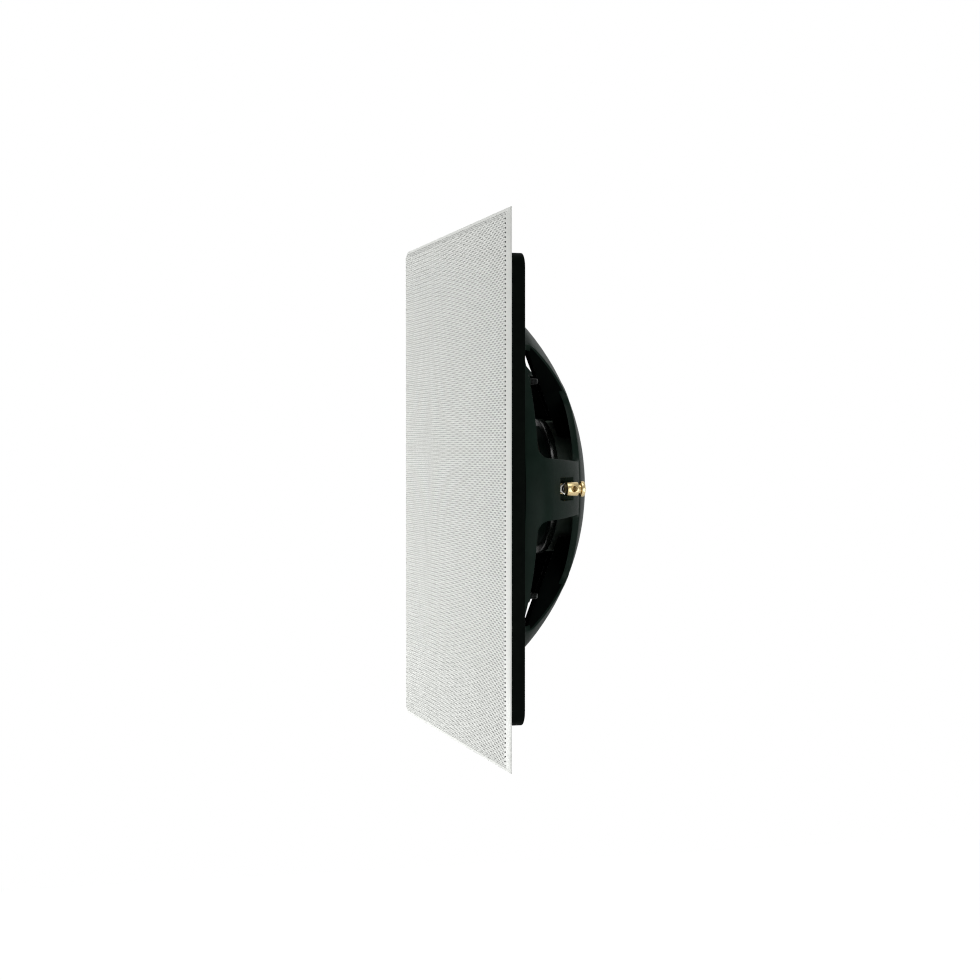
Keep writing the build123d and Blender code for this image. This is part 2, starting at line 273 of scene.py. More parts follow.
def add_noise(tree, place, size, detail=4):
    noise = tree.nodes.new("ShaderNodeTexNoise")
    put(tree, noise.inputs["Scale"], 1 / size)
    put(tree, noise.inputs["Detail"], detail)
    put(tree, noise.inputs["Vector"], place)
    return noise.outputs["Fac"]


def add_bands(tree, place, axis, step):
    bands = tree.nodes.new("ShaderNodeTexWave")
    bands.bands_direction = axis
    put(tree, bands.inputs["Scale"], wave_length / step)
    put(tree, bands.inputs["Vector"], place)
    return bands.outputs["Fac"]


print("noise from", noise_range[0], "to", noise_range[1])


# %% Colour, roughness and grain
def colour_between(tree, shader, value, dark, light):
    ramp = tree.nodes.new("ShaderNodeValToRGB")
    for stop, position, colour in zip(ramp.color_ramp.elements, noise_range, (dark, light)):
        stop.position = position
        stop.color = (*colour, 1)
    put(tree, ramp.inputs["Fac"], value)
    put(tree, shader["Base Color"], ramp.outputs["Color"])


def roughness_between(tree, shader, value, rough):
    put(tree, shader["Roughness"], add_range(tree, value, noise_range, rough))


def raise_grain(tree, shader, value, height):
    bump = tree.nodes.new("ShaderNodeBump")
    put(tree, bump.inputs["Strength"], 1.0)
    put(tree, bump.inputs["Distance"], height)
    put(tree, bump.inputs["Height"], value)
    put(tree, shader["Normal"], bump.outputs["Normal"])


patch_grains = 12  # a patch of colour is this many grains wide


def grained(name, dark, light, rough, grain, bump, metal=0.0, gloss=0.5):
    finish, tree, shader, place = new_finish(name, metal, gloss)
    patches = add_noise(tree, place, patch_grains * grain, detail=3)
    colour_between(tree, shader, patches, dark, light)
    fine = add_noise(tree, place, grain)
    roughness_between(tree, shader, fine, rough)
    raise_grain(tree, shader, fine, bump)
    return finish


print("colour patches", patch_grains, "grains wide")

# %% [markdown]
# ### Paint and plastic
# The grille has white powder paint. The frame is black moulded plastic with hardly any shine. The
# basket is cast and painted a satin black with a trace of green. Its ribs are the same casting, but
# are painted much darker and duller, as painted shade for the dark inside of the basket. Pure black
# could stand for all of these, but then their edges wouldn't show.

# %% Paint and plastic
white_paint = grained(
    "white_paint",
    dark=(0.77, 0.785, 0.75),
    light=(0.82, 0.835, 0.80),
    rough=(0.42, 0.55),
    grain=0.7 * mm,
    bump=0.02 * mm,
)
frame_plastic = grained(
    "frame_plastic",
    dark=(0.001, 0.002, 0.0015),
    light=(0.002, 0.0035, 0.0025),
    rough=(0.5, 0.64),
    grain=0.5 * mm,
    bump=0.02 * mm,
    gloss=0.02,
)
basket_satin = grained(
    "basket_satin",
    dark=(0.004, 0.011, 0.0075),
    light=(0.006, 0.015, 0.0105),
    rough=(0.4, 0.52),
    grain=0.9 * mm,
    bump=0.02 * mm,
    gloss=0.07,
)
# Painted shade: the ribs are the basket's own paint made darker and duller, because they face the
# dark inside.
rib_painted_shade = grained(
    "rib_painted_shade",
    dark=(0.0005, 0.001, 0.0008),
    light=(0.0015, 0.0025, 0.002),
    rough=(0.7, 0.85),
    grain=0.9 * mm,
    bump=0.04 * mm,
    gloss=0.02,
)
print("finishes so far", len(bpy.data.materials))

# %% [markdown]
# ### Bare and plated metal
# The walls of the grille's holes stand for bare cut steel, but they are painted almost black, as
# painted shade deep inside the holes. The terminals are gold plated with zinc-plated nuts and
# bolts, the driver's screws are black zinc, and the grille's magnets are nickel plated.
# Plating is thin and shiny, so these have a fine grain, hardly any bump and a low roughness.

# %% Bare and plated metal
# Painted shade: near-black walls stand for the shade deep inside the small holes.
cut_steel_painted_shade = grained(
    "cut_steel_painted_shade",
    dark=(0.05, 0.052, 0.05),
    light=(0.09, 0.092, 0.088),
    rough=(0.45, 0.6),
    grain=0.3 * mm,
    bump=0.01 * mm,
)
black_zinc = grained(
    "black_zinc",
    dark=(0.02, 0.022, 0.021),
    light=(0.04, 0.043, 0.042),
    rough=(0.3, 0.45),
    grain=0.5 * mm,
    bump=0.01 * mm,
    metal=0.6,
)
zinc_plate = grained(
    "zinc_plate",
    dark=(0.55, 0.55, 0.53),
    light=(0.68, 0.68, 0.66),
    rough=(0.22, 0.38),
    grain=0.6 * mm,
    bump=0.01 * mm,
    metal=1.0,
)
nickel_plate = grained(
    "nickel_plate",
    dark=(0.66, 0.64, 0.60),
    light=(0.74, 0.72, 0.68),
    rough=(0.12, 0.24),
    grain=0.5 * mm,
    bump=0.005 * mm,
    metal=1.0,
)
gold_plate = grained(
    "gold_plate",
    dark=(0.76, 0.59, 0.30),
    light=(0.84, 0.68, 0.38),
    rough=(0.3, 0.42),
    grain=0.8 * mm,
    bump=0.006 * mm,
    metal=1.0,
)
print("finishes so far", len(bpy.data.materials))

# %% [markdown]
# ### Motor and moving parts
# The motor's plates are steel under glossy black lacquer, and its magnet is ferrite, a dull grey
# ceramic. The gasket is foam, the surround is rubber, the cone is pressed paper pulp, and the coil
# sits on a former of amber film. Lacquer hides the metal, so it is shaded as a gloss, not as metal.

# %% Motor and moving parts
black_steel = grained(
    "black_steel",
    dark=(0.010, 0.016, 0.012),
    light=(0.018, 0.026, 0.020),
    rough=(0.22, 0.32),
    grain=0.8 * mm,
    bump=0.01 * mm,
    gloss=0.9,
)
ferrite = grained(
    "ferrite",
    dark=(0.09, 0.13, 0.10),
    light=(0.12, 0.16, 0.13),
    rough=(0.55, 0.7),
    grain=0.4 * mm,
    bump=0.03 * mm,
    gloss=0.4,
)
foam = grained(
    "foam",
    dark=(0.012, 0.012, 0.012),
    light=(0.03, 0.03, 0.03),
    rough=(0.8, 0.95),
    grain=0.6 * mm,
    bump=0.12 * mm,
    gloss=0.2,
)
surround_rubber = grained(
    "surround_rubber",
    dark=(0.010, 0.010, 0.010),
    light=(0.018, 0.018, 0.018),
    rough=(0.5, 0.66),
    grain=0.6 * mm,
    bump=0.02 * mm,
)
cone_pulp = grained(
    "cone_pulp",
    dark=(0.010, 0.011, 0.011),
    light=(0.022, 0.023, 0.023),
    rough=(0.62, 0.82),
    grain=1.6 * mm,
    bump=0.09 * mm,
    gloss=0.3,
)
former_film = grained(
    "former_film",
    dark=(0.42, 0.22, 0.05),
    light=(0.5, 0.28, 0.07),
    rough=(0.25, 0.35),
    grain=0.6 * mm,
    bump=0.005 * mm,
)
print("finishes so far", len(bpy.data.materials))

# %% [markdown]
# ### Woven and wound finishes
# Scrim and spider are cloth, the leads are braided wire and the coil is wound wire. Two sets of
# bands crossing each other make a weave, and one set makes a winding or a braid. Real threads would
# be far too many faces.

# %% Helpers for cloth and wire
cloth_gloss = 0.2
cloth_sheen = 0.25
cloth_rough = (0.75, 0.92)
cloth_patch = 8  # a dull or shiny patch is this many threads wide
wire_rough = (0.25, 0.4)
wire_patch = 4


def woven(name, dark, light, axes, step, bump):
    finish, tree, shader, place = new_finish(name, gloss=cloth_gloss)
    put(tree, shader["Sheen Weight"], cloth_sheen)
    threads = [add_bands(tree, place, axis, step) for axis in axes]
    weave = add_math(tree, "MAXIMUM", *threads)
    colour_between(tree, shader, weave, dark, light)
    roughness_between(tree, shader, add_noise(tree, place, cloth_patch * step), cloth_rough)
    raise_grain(tree, shader, weave, bump)
    return finish


def wound(name, dark, light, axis, step, bump):
    finish, tree, shader, place = new_finish(name, metal=1.0)
    turns = add_bands(tree, place, axis, step)
    colour_between(tree, shader, turns, dark, light)
    roughness_between(tree, shader, add_noise(tree, place, wire_patch * step), wire_rough)
    raise_grain(tree, shader, turns, bump)
    return finish


print("patches", cloth_patch, "threads and", wire_patch, "turns wide")

# %% Cloth, braid and winding
# Painted shade: the scrim's grey is darker than the pale cloth, for the shade behind the holes.
scrim_cloth_painted_shade = woven(
    "scrim_cloth_painted_shade",
    dark=(0.14, 0.14, 0.135),
    light=(0.26, 0.26, 0.25),
    axes="XZ",
    step=0.45 * mm,
    bump=0.08 * mm,
)
spider_cloth = woven(
    "spider_cloth",
    dark=(0.03, 0.026, 0.02),
    light=(0.07, 0.06, 0.045),
    axes="XZ",
    step=0.5 * mm,
    bump=0.08 * mm,
)
copper_winding = wound(
    "copper_winding",
    dark=(0.30, 0.10, 0.04),
    light=(0.75, 0.34, 0.17),
    axis="Y",
    step=0.35 * mm,
    bump=0.1 * mm,
)
tinsel_braid = wound(
    "tinsel_braid",
    dark=(0.30, 0.19, 0.10),
    light=(0.72, 0.52, 0.34),
    axis="DIAGONAL",
    step=0.5 * mm,
    bump=0.15 * mm,
)
print("finishes in all", len(bpy.data.materials))

# %% [markdown]
# ### A finish for every solid part
# Every part of the solid model gets its finish, also the parts that a finer piece stands for later.
# Gasket, cone, dust cap, coil and former have the right shape already, so for them this is all.

# %% Put a finish on every solid part
finish_of = {
    "grille_magnets": nickel_plate,
    "frame": frame_plastic,
    "driver_gasket": foam,
    "basket": basket_satin,
    "driver_screws": black_zinc,
    "top_plate": black_steel,
    "magnet": ferrite,
    "yoke": black_steel,
    "spider_ring": basket_satin,
    "cone": cone_pulp,
    "dust_cap": cone_pulp,
    "voice_coil_former": former_film,
    "voice_coil": copper_winding,
    "terminal_body_positive": gold_plate,
    "terminal_body_negative": gold_plate,
    "terminal_button_positive": gold_plate,
    "terminal_button_negative": gold_plate,
    "terminal_bolts": zinc_plate,
    "terminal_nuts": zinc_plate,
    "grille": white_paint,
    "grille_scrim": scrim_cloth_painted_shade,
    "surround": surround_rubber,
    "spider": spider_cloth,
    "tinsel_lead_positive": tinsel_braid,
    "tinsel_lead_negative": tinsel_braid,
}
for name, finish in finish_of.items():
    nodes[name].data.materials.clear()
    nodes[name].data.materials.append(finish)
print("finished parts", len(finish_of))

# %% [markdown]
# ## Helpers for modelling
# An operator works on whatever is selected, and loading leaves the solid parts selected. So each
# step first lets go of everything, then takes the one piece it works on.

# %% Take, edit and copy a piece
def let_go():
    if bpy.context.object and bpy.context.object.mode != "OBJECT":
        bpy.ops.object.mode_set(mode="OBJECT")
    bpy.ops.object.select_all(action="DESELECT")


def take(piece):
    let_go()
    piece.select_set(True)
    bpy.context.view_layer.objects.active = piece


def edit(piece):
    take(piece)
    bpy.ops.object.mode_set(mode="EDIT")
    bpy.ops.mesh.select_all(action="SELECT")


def settle(piece):
    take(piece)
    bpy.ops.object.transform_apply(location=True, rotation=True, scale=True)
    return piece


def duplicate(piece):
    take(piece)
    bpy.ops.object.duplicate()
    return bpy.context.object


def delete(piece):
    take(piece)
    bpy.ops.object.delete()


def join(pieces):
    let_go()
    for piece in pieces:
        piece.select_set(True)
    bpy.context.view_layer.objects.active = pieces[0]
    bpy.ops.object.join()
    return bpy.context.object


# %% Select, shape and dress a piece
def select_where(piece, test):
    edit(piece)
    bpy.ops.mesh.select_mode(type="VERT")
    bpy.ops.mesh.select_all(action="DESELECT")
    bpy.ops.object.mode_set(mode="OBJECT")
    for vertex in piece.data.vertices:
        vertex.select = test(vertex.co)
    bpy.ops.object.mode_set(mode="EDIT")


def face_outwards():
    bpy.ops.mesh.select_all(action="SELECT")
    bpy.ops.mesh.normals_make_consistent(inside=False)
    let_go()


def apply_modifier(piece, kind, **settings):
    take(piece)
    modifier = piece.modifiers.new(kind.lower(), kind)
    for name, value in settings.items():
        setattr(modifier, name, value)
    bpy.ops.object.modifier_apply(modifier=modifier.name)


def round_edges(piece, width, steps, angle, **settings):
    limit = dict(limit_method="ANGLE", angle_limit=math.radians(angle))
    apply_modifier(piece, "BEVEL", width=width, segments=steps, **limit, **settings)


def smooth(piece, degrees=35):
    take(piece)
    bpy.ops.object.shade_smooth_by_angle(angle=math.radians(degrees))


def dress(piece, name, finish):
    piece.name = name
    piece.data.name = name
    piece.data.materials.clear()
    piece.data.materials.append(finish)
    return piece


print("helpers ready")

# %% [markdown]
# ## Grille
# The grille is a steel sheet punched all over with small holes in staggered rows, then folded back
# at its edges. A picture of holes would not stand up close to, and cutting thousands of holes one
# by one would take an age. One six-sided cell with a six-sided hole tiles the plane like a
# honeycomb, so a single cell and two array modifiers make a whole band of the sheet. As in the
# factory the sheet is punched flat and folded after that, so the outermost rows lie on the bevel.
# Solidify then gives the sheet its thickness.

# %% Sizes of the sheet
grille_low, grille_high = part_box("grille")
scrim_low, scrim_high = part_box("grille_scrim")
sheet_thickness = scrim_low.y - grille_low.y
border_width = 5.8 * mm
lip_height = 0.5 * mm
hole_pitch = 3.0 * mm
hole_across = 1.22 * mm
column_step = 1.7 * mm
row_count = 121
column_count = 175

flat_half_width = grille_high.x - border_width
flat_half_height = grille_high.z - border_width
field_half_width = column_count / 2 * column_step
field_half_height = row_count / 2 * hole_pitch
bevel_rise = (-lip_height - grille_low.y) / border_width
print("holes", row_count, "high", column_count, "wide, bevel rises", bevel_rise)

# %% One cell
cell_sides = 6
cell_turn = math.radians(30)  # so that it has a flat top
cell_radius = hole_pitch / math.sqrt(3)
cell_squeeze = column_step / (1.5 * cell_radius)
hole_width = hole_across / (math.sqrt(3) * cell_radius * cell_squeeze)  # as a share of the cell
hole_height = hole_across / hole_pitch


def add_cell(x, z, holed):
    middle = (x, grille_low.y, z)
    bpy.ops.mesh.primitive_circle_add(
        vertices=cell_sides,
        radius=cell_radius,
        fill_type="NGON",
        location=middle,
        rotation=(quarter_turn, cell_turn, 0),
    )
    cell = settle(bpy.context.object)
    edit(cell)
    bpy.ops.transform.resize(value=(cell_squeeze, 1, 1), center_override=middle)
    if holed:
        bpy.ops.mesh.select_mode(type="FACE")
        bpy.ops.mesh.inset(thickness=0)
        bpy.ops.transform.resize(value=(hole_width, 1, hole_height), center_override=middle)
        bpy.ops.mesh.delete(type="FACE")
    let_go()
    return cell


print("cell", cell_radius, "squeezed", cell_squeeze)


# %% Many cells
def repeat(piece, count, step):
    offset = dict(use_relative_offset=False, use_constant_offset=True)
    apply_modifier(piece, "ARRAY", count=count, constant_offset_displace=step, **offset)


def add_cells(first_column, columns, first_z, rows, holed=True):
    first_x = (first_column - (column_count - 1) / 2) * column_step
    cells = add_cell(first_x, first_z, holed)
    repeat(cells, rows, (0, 0, hole_pitch))
    repeat(cells, columns, (2 * column_step, 0, 0))
    return cells


def row_height(row):
    return (row + 0.5) * hole_pitch - field_half_height


print("rows from", row_height(0), "to", row_height(row_count - 1))


# %% Cut and fold the sheet
def cut_off(piece, point, outward):
    edit(piece)
    bpy.ops.mesh.bisect(plane_co=point, plane_no=outward, clear_outer=True)
    let_go()


def crease(piece, point, across):
    edit(piece)
    bpy.ops.mesh.bisect(plane_co=point, plane_no=across)
    let_go()


def fold(piece):
    for vertex in piece.data.vertices:
        past_width = abs(vertex.co.x) - flat_half_width
        past_height = abs(vertex.co.z) - flat_half_height
        vertex.co.y += bevel_rise * max(past_width, past_height, 0)


print("sheet is flat to", flat_half_width, flat_half_height)

# %% One band of the punched sheet
touching = 0.01 * mm  # points nearer than this are one point
even_columns = (column_count + 1) // 2  # half a step higher than the odd ones
odd_columns = column_count // 2


def add_band(first_row, rows, name):
    last = first_row + rows == row_count
    even_rows = rows - 1 if last else rows
    parts = [
        add_cells(0, even_columns, row_height(first_row + 0.5), even_rows),
        add_cells(1, odd_columns, row_height(first_row), rows),
        add_cells(-1, 1, row_height(first_row), rows, holed=False),
        add_cells(column_count, 1, row_height(first_row), rows, holed=False),
    ]
    if first_row == 0:
        parts.append(add_cells(0, even_columns, -field_half_height, 1, holed=False))
    if last:
        parts.append(add_cells(0, even_columns, field_half_height, 1, holed=False))
    band = join(parts)
    edit(band)
    bpy.ops.mesh.remove_doubles(threshold=touching)
    let_go()
    for side in (-1, 1):
        cut_off(band, (side * field_half_width, 0, 0), (side, 0, 0))
        cut_off(band, (0, 0, side * field_half_height), (0, 0, side))
        crease(band, (side * flat_half_width, 0, 0), (1, 0, 0))
        crease(band, (0, 0, side * flat_half_height), (0, 0, 1))
    fold(band)
    return dress(band, name, white_paint)


print("columns", even_columns, "and", odd_columns)

# %% All five bands
band_count = 5
band_starts = [round(row_count * i / band_count) for i in range(band_count + 1)]
bands = []
for i in range(band_count):
    rows = band_starts[i + 1] - band_starts[i]
    band = add_band(band_starts[i], rows, f"grille_sheet_{i + 1}")
    # The walls of the holes take the near-black finish, which is painted shade inside the holes.
    band.data.materials.append(cut_steel_painted_shade)
    apply_modifier(band, "SOLIDIFY", thickness=sheet_thickness, offset=-1, material_offset_rim=1)
    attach(band, "housing")
    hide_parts("grille")
    bands.append(band)
print("punched sheet faces", [len(band.data.polygons) for band in bands])

# %% [markdown]
# ### Border of the grille
# The border is the same sheet without holes. It carries the bevel on and ends in a short lip on the
# wall. It could be cut from a box, but it is really a folded strip. So it starts flat, as the four
# edges of the punched field, which are extruded and scaled outwards. It is creased along its mitred
# corners and folded like the rest, and the lip is then extruded from its outer edges.

# %% Border cut flat
bpy.ops.mesh.primitive_plane_add(
    size=2, location=(0, grille_low.y, 0), rotation=(quarter_turn, 0, 0)
)
border = bpy.context.object
border.scale = (field_half_width, field_half_height, 1)
settle(border)
edit(border)
bpy.ops.mesh.delete(type="ONLY_FACE")
bpy.ops.mesh.select_mode(type="EDGE")
bpy.ops.mesh.select_all(action="SELECT")
bpy.ops.mesh.extrude_edges_move()
outwards = (grille_high.x / field_half_width, 1, grille_high.z / field_half_height)
bpy.ops.transform.resize(value=outwards, center_override=(0, 0, 0))
let_go()
print("flat strip faces", len(border.data.polygons))


# %% Border folded
def on_rim(point):
    return abs(point.x) > grille_high.x - touching or abs(point.z) > grille_high.z - touching


for side in (-1, 1):
    crease(border, (flat_half_width, 0, side * flat_half_height), (1, 0, -side))
    crease(border, (-flat_half_width, 0, side * flat_half_height), (1, 0, side))
fold(border)
select_where(border, on_rim)
bpy.ops.mesh.extrude_edges_move(TRANSFORM_OT_translate={"value": (0, lip_height, 0)})
face_outwards()
# An open sheet has no inside, so its faces may still look back and are then turned to the front.
if sum(face.normal.y for face in border.data.polygons) > 0:
    edit(border)
    bpy.ops.mesh.flip_normals()
    let_go()
print("folded strip faces", len(border.data.polygons))

# %% Border rounded and thick
bend_rounding = 0.45 * mm
fold_angle = 40
round_edges(border, bend_rounding, steps=3, angle=fold_angle)
apply_modifier(border, "SOLIDIFY", thickness=sheet_thickness, offset=-1, use_even_offset=True)
smooth(border)
dress(border, "grille_border", white_paint)
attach(border, "housing")
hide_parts("grille")
print("border", [round(side, 4) for side in border.dimensions], "faces", len(border.data.polygons))

# %% [markdown]
# ## Scrim
# A thin cloth is stretched behind the grille and keeps the driver out of sight. Its grey is painted
# shade: the cloth is paler, and it is made darker for the shade behind the holes. It stops short of
# the outermost holes, so those look darkest. A single face would do for a taut cloth, but a grid
# costs little and can still be bent where the speaker is used again. The weave is in the finish.

# %% Scrim
scrim_steps = (48, 58)
scrim_thickness = 0.4 * mm
bpy.ops.mesh.primitive_grid_add(
    x_subdivisions=scrim_steps[0],
    y_subdivisions=scrim_steps[1],
    size=2,
    location=(0, (scrim_low.y + scrim_high.y) / 2, 0),
    rotation=(quarter_turn, 0, 0),
)
scrim = bpy.context.object
scrim.scale = (scrim_high.x, scrim_high.z, 1)
settle(scrim)
apply_modifier(scrim, "SOLIDIFY", thickness=scrim_thickness, offset=0)
dress(scrim, "scrim_sheet", scrim_cloth_painted_shade)
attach(scrim, "housing")
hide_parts("grille_scrim")
print("scrim", scrim.dimensions[:])

# %% [markdown]
# ## Mouldings, castings and turned parts
# The solid model has sharp edges, but a moulded frame, a cast basket and turned metal all have
# small rounded ones that catch the light. They could be rounded one edge at a time. It is quicker
# and even to merge a copy of the solid, clear the needless edges from its flat faces, and bevel
# every edge that is left sharp.

# %% Rounded copies
merge_distance = 0.002 * mm
flat_angle = math.radians(0.4)
sharp_angle = 45
edge_steps = 2


def rounded_copy(node, name, finish, rounding, body="housing"):
    piece = duplicate(nodes[node])
    bpy.ops.object.parent_clear(type="CLEAR_KEEP_TRANSFORM")
    for mark in [key for key in piece.keys() if key.startswith("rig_")]:
        del piece[mark]
    bpy.ops.mesh.customdata_custom_splitnormals_clear()
    edit(piece)
    bpy.ops.mesh.remove_doubles(threshold=merge_distance)
    bpy.ops.mesh.dissolve_limited(angle_limit=flat_angle)
    bpy.ops.mesh.normals_make_consistent(inside=False)
    let_go()
    round_edges(piece, rounding, edge_steps, sharp_angle, use_clamp_overlap=False)
    smooth(piece)
    dress(piece, name, finish)
    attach(piece, body)
    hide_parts(node)
    print(name, "faces", len(piece.data.polygons))
    return piece


print("edges sharper than", sharp_angle, "degrees are rounded")

# %% [markdown]
# ### Frame and basket
# The frame goes into the wall and is moulded with a soft edge all round. The basket is cast, with
# six arms that meet in a domed hub. Its edges are a little tighter, so that the narrow corners
# where arms and hub meet stay clean.

# %% Frame and basket
rounded_copy("frame", "frame_moulding", frame_plastic, rounding=0.5 * mm)
rounded_copy("basket", "basket_casting", basket_satin, rounding=0.45 * mm)

# %% [markdown]
# ### Ribs of the basket's arms
# Thin arms would bend, so each arm has a rib along both edges, like a channel. Seen from the side
# the ribs make the arms look deep, and they close most of the view through the windows. One rib is
# a bar, cut straight from the rail to the motor and trimmed by the dome, and it is copied to both
# edges of all six arms.

# %% One rib, cut straight
rib_wall = 3.0 * mm
rib_height = 40 * mm
rib_rail_end = (125 * mm, 30.0 * mm)  # distance from the axis, depth
rib_motor_end = (50 * mm, 66.0 * mm)

rib_length = rib_rail_end[0] - rib_motor_end[0]
rib_middle = (rib_rail_end[0] + rib_motor_end[0]) / 2
rib_fall = rib_motor_end[1] - rib_rail_end[1]
bpy.ops.mesh.primitive_cube_add(size=1, location=(rib_middle, rib_motor_end[1], 0))
rib = bpy.context.object
rib.scale = (rib_length, 2 * rib_height, rib_wall)
settle(rib)
edit(rib)
bpy.ops.mesh.bisect(
    plane_co=(*rib_rail_end, 0),
    plane_no=(-rib_fall, -rib_length, 0),
    clear_outer=True,
    use_fill=True,
)
let_go()
print("bar faces", len(rib.data.polygons))

# %% One rib, trimmed by the dome
dome_centre = (0, -82.1 * mm, 0)
dome_inside = 170.0 * mm
dome_steps = (192, 96)
rib_rounding = 0.5 * mm

bpy.ops.mesh.primitive_uv_sphere_add(
    segments=dome_steps[0],
    ring_count=dome_steps[1],
    radius=dome_inside,
    location=dome_centre,
    rotation=(quarter_turn, 0, 0),
)
dome = settle(bpy.context.object)
apply_modifier(rib, "BOOLEAN", object=dome, operation="INTERSECT", solver="EXACT")
delete(dome)
round_edges(rib, rib_rounding, steps=2, angle=fold_angle)
print("rib faces", len(rib.data.polygons))

# %% All twelve ribs
arm_count = 6
arm_edge_at_hub = 18.0 * mm
arm_edge_slope = 3.0 / 45.0
hub_radius = 83 * mm

edge_at_axis = arm_edge_at_hub - arm_edge_slope * hub_radius - rib_wall / 2
ribs = []
for arm in range(arm_count):
    for side in (-1, 1):
        copy = duplicate(rib)
        copy.rotation_euler = (0, -side * math.atan(arm_edge_slope), 0)
        copy.location = (0, 0, side * edge_at_axis)
        settle(copy)
        copy.rotation_euler = (0, math.radians(arm * 360 / arm_count), 0)
        ribs.append(settle(copy))
delete(rib)
arm_ribs = join(ribs)
smooth(arm_ribs)
# The ribs take the darker finish of painted shade, not the basket's own satin.
dress(arm_ribs, "basket_arm_ribs", rib_painted_shade)
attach(arm_ribs, "housing")
print("ribs", len(ribs), "faces", len(arm_ribs.data.polygons))

# %% [markdown]
# ### Motor
# The motor is a stack of turned rings: the steel top plate, the ring magnet and the yoke with its
# pole. The ring that holds the spider and the discs that hold the grille are turned too, so rounded
# copies do for all of them. A thick plate has a wide rounded edge and a small disc a narrow one.

# %% Motor
rounded_copy("top_plate", "motor_top_plate", black_steel, rounding=0.9 * mm)
rounded_copy("magnet", "motor_magnet", ferrite, rounding=1.0 * mm)
rounded_copy("yoke", "motor_yoke", black_steel, rounding=0.4 * mm)
rounded_copy("spider_ring", "spider_seat_ring", basket_satin, rounding=0.5 * mm)
rounded_copy("grille_magnets", "grille_magnet_discs", nickel_plate, rounding=0.25 * mm)

# %% [markdown]
# ### Terminals
# On each side arm a gold barrel is held by a bolt and a hex nut, and a button slides in the barrel
# to let the wire in. All four are turned or milled, so they are rounded copies as well. The button
# rides on its own body, because it moves by itself.

# %% Terminals
poles = ("positive", "negative")
for pole in poles:
    rounded_copy(
        f"terminal_body_{pole}", f"terminal_barrel_{pole}", gold_plate, rounding=0.25 * mm
    )
    rounded_copy(
        f"terminal_button_{pole}",
        f"terminal_cap_{pole}",
        gold_plate,
        rounding=0.4 * mm,
        body=f"button_{pole}",
    )
rounded_copy("terminal_nuts", "terminal_hex_nuts", zinc_plate, rounding=0.2 * mm)
terminal_bolts = rounded_copy(
    "terminal_bolts", "terminal_round_bolts", zinc_plate, rounding=0.25 * mm
)

# %% [markdown]
# ### Ends of the bolts
# The bolts end inside their nuts, so each nut shows a dark, sunken middle. A hole could be drilled,
# but it is enough to find the end of a bolt by its place, push it in and make it narrower, which
# also gives the point its cone.

# %% Sunken bolt ends
bolt_sink = 1.1 * mm
bolt_taper = 0.6
bolt_end_length = 0.3 * mm
bolt_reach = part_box("terminal_bolts")[1].x
nut_low, nut_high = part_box("terminal_nuts")
bolt_middle = (nut_low.y + nut_high.y) / 2
for side in (-1, 1):
    select_where(terminal_bolts, lambda point: side * point.x > bolt_reach - bolt_end_length)
    bpy.ops.transform.translate(value=(-side * bolt_sink, 0, 0))
    taper = (1, bolt_taper, bolt_taper)
    bpy.ops.transform.resize(value=taper, center_override=(0, bolt_middle, 0))
    let_go()
print("bolts end", bolt_sink, "inside their nuts")

# %% [markdown]
# ## Surround
# A half roll of rubber joins the cone to the basket and lets the cone move. It is turned from one
# profile: a half circle with a flat lip on each side. The profile could be drawn in one go, but the
# lips are easier to extrude after the half circle has been spun, because each is only its edge ring
# scaled in or out.

# %% Half roll
surround_low, surround_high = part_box("surround")
cone_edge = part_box("cone")[1].x
rubber_wall = 0.8 * mm
roll_sides = 48
turn_steps = 128
spin_seam = 0.005 * mm
roll_depth = surround_high.y - rubber_wall
roll_outside = roll_depth - surround_low.y
roll_radius = roll_outside - rubber_wall / 2
roll_middle = cone_edge + roll_outside

bpy.ops.mesh.primitive_circle_add(
    vertices=roll_sides, radius=roll_radius, location=(roll_middle, roll_depth, 0)
)
surround = settle(bpy.context.object)
edit(surround)
bpy.ops.mesh.bisect(plane_co=(0, roll_depth, 0), plane_no=(0, 1, 0), clear_outer=True)
bpy.ops.mesh.select_all(action="SELECT")
bpy.ops.mesh.spin(steps=turn_steps, angle=math.radians(360), center=(0, 0, 0), axis=(0, 1, 0))
bpy.ops.mesh.select_all(action="SELECT")
bpy.ops.mesh.remove_doubles(threshold=spin_seam)
let_go()
print("half roll faces", len(surround.data.polygons))

# %% Lips
inner_lip = 6.0 * mm
lip_drop = rubber_wall / 2
ring_width = 0.1 * mm


def radius_of(point):
    return math.hypot(point.x, point.z)


def draw_ring(old_radius, new_radius, depth_change):
    bpy.ops.mesh.extrude_edges_move(TRANSFORM_OT_translate={"value": (0, depth_change, 0)})
    factor = new_radius / old_radius
    bpy.ops.transform.resize(value=(factor, 1, factor), center_override=(0, 0, 0))


def extrude_lip(piece, edge_radius, bend_radius, lip_radius):
    for start, end, depth_change in (
        (edge_radius, bend_radius, lip_drop),
        (bend_radius, lip_radius, 0),
    ):
        select_where(piece, lambda point: abs(radius_of(point) - start) < ring_width)
        draw_ring(start, end, depth_change)
        let_go()


roll_outer = roll_middle + roll_radius
roll_inner = roll_middle - roll_radius
extrude_lip(surround, roll_outer, roll_outer + lip_drop, surround_high.x)
extrude_lip(surround, roll_inner, roll_inner - lip_drop, cone_edge - inner_lip)
print("roll and lips faces", len(surround.data.polygons))

# %% [markdown]
# ### Wall of the surround
# The half roll gets its rubber wall. Then each point's share of the cone's travel is worked out
# from its distance to the axis, 0 outside the roll and 1 inside it, clamped at both ends. The share
# is not kept, so the surround does not move with the cone.

# %% Wall and shares by radius
def blend_by_radius(piece, fixed_radius, moving_radius):
    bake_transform(piece)
    for vertex in piece.data.vertices:
        share = (fixed_radius - radius_of(vertex.co)) / (fixed_radius - moving_radius)
        share = min(max(share, 0.0), 1.0)


